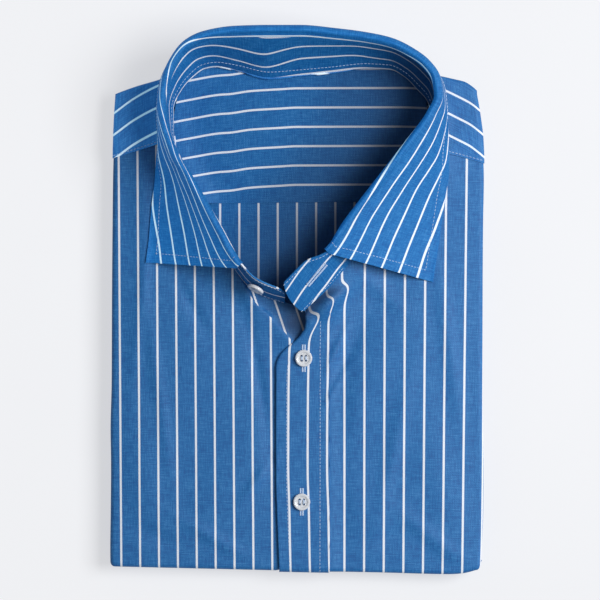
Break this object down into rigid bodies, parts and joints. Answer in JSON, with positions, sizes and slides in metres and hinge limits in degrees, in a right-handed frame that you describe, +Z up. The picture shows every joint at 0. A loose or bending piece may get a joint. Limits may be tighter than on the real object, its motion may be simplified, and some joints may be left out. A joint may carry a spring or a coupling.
{
  "type": "folded shirt",
  "caption": "Long-sleeved button-front oxford shirt in blue with thin white stripes, folded flat with its collar standing open and the top button undone.",
  "frame": {"origin": "middle of the folded shirt's bounding box, on the surface that it lies on", "axes": "+X to the picture's right, +Y from the bottom fold towards the collar, +Z up out of the folded front"},
  "size_m": [0.2403, 0.3493, 0.052],
  "materials": {
    "cloth": "matt striped oxford weave",
    "button": "clear polished"
  },
  "bodies": {
    "root": {"hidden_layers": "cloth", "back": "cloth", "yoke_outer": "cloth", "yoke_inside": "cloth", "front_left": "cloth", "front_right": "cloth", "placket": "cloth", "collar_band": "cloth", "collar_fall": "cloth", "collar_button": "button", "button_1": "button", "button_2": "button"}
  },
  "joints": []
}
